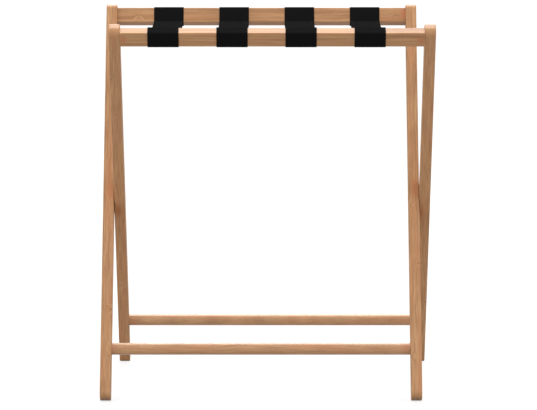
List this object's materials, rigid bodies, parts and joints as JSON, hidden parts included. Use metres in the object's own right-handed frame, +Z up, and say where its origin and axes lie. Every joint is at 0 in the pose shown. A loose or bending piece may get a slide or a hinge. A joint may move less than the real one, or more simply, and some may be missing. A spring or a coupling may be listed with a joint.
{
  "type": "luggage rack",
  "caption": "Folding wooden luggage rack: two crossed ladder frames on pivot bolts, round lower stretchers and black webbing straps between the top rails.",
  "frame": {"origin": "on the floor, midway between the four feet, with the rack open", "axes": "+X along the rails to the right as seen in the picture, +Y from the front top rail to the rear top rail, +Z up"},
  "size_m": [0.6, 0.4028, 0.6802],
  "materials": {
    "wood": "satin clear lacquer over light hardwood, grain along each piece",
    "dowel_wood": "raw beech",
    "webbing": "matt black woven webbing",
    "steel": "zinc-plated"
  },
  "bodies": {
    "front_frame": {"front_frame_left_leg": "wood", "front_frame_right_leg": "wood", "front_frame_top_rail": "wood", "front_frame_stretcher": "wood", "front_frame_rail_dowels": "dowel_wood", "front_strap_staples": "steel", "front_strap_sleeve_1": "webbing", "front_strap_sleeve_2": "webbing", "front_strap_sleeve_3": "webbing", "front_strap_sleeve_4": "webbing", "left_pivot_bolt": "steel", "left_pivot_nut": "steel", "right_pivot_bolt": "steel", "right_pivot_nut": "steel"},
    "rear_frame": {"rear_frame_left_leg": "wood", "rear_frame_right_leg": "wood", "rear_frame_top_rail": "wood", "rear_frame_stretcher": "wood", "rear_frame_rail_dowels": "dowel_wood", "rear_strap_staples": "steel", "rear_strap_sleeve_1": "webbing", "rear_strap_sleeve_2": "webbing", "rear_strap_sleeve_3": "webbing", "rear_strap_sleeve_4": "webbing"},
    "front_webbing": {"front_strap_half_1": "webbing", "front_strap_half_2": "webbing", "front_strap_half_3": "webbing", "front_strap_half_4": "webbing"},
    "rear_webbing": {"rear_strap_half_1": "webbing", "rear_strap_half_2": "webbing", "rear_strap_half_3": "webbing", "rear_strap_half_4": "webbing"}
  },
  "joints": [
    {"name": "fold", "type": "hinge", "parent": "front_frame", "child": "rear_frame", "pos_m": [0, 0, 0.34009], "axis": [1, 0, 0], "range_deg": [0, 54]},
    {"name": "front_webbing_drop", "type": "hinge", "parent": "front_frame", "child": "front_webbing", "pos_m": [0, -0.17319, 0.64942], "axis": [-1, 0, 0], "range_deg": [0, 58.8], "deforming": ["front_strap_half_1", "front_strap_half_2", "front_strap_half_3", "front_strap_half_4"]},
    {"name": "rear_webbing_drop", "type": "hinge", "parent": "rear_frame", "child": "rear_webbing", "pos_m": [0, 0.17319, 0.64942], "axis": [1, 0, 0], "range_deg": [0, 58.8], "deforming": ["rear_strap_half_1", "rear_strap_half_2", "rear_strap_half_3", "rear_strap_half_4"]}
  ],
  "couplings": [
    {"joint": "front_webbing_drop", "follows": "fold", "ratio": 1.088},
    {"joint": "rear_webbing_drop", "follows": "fold", "ratio": 1.088}
  ]
}
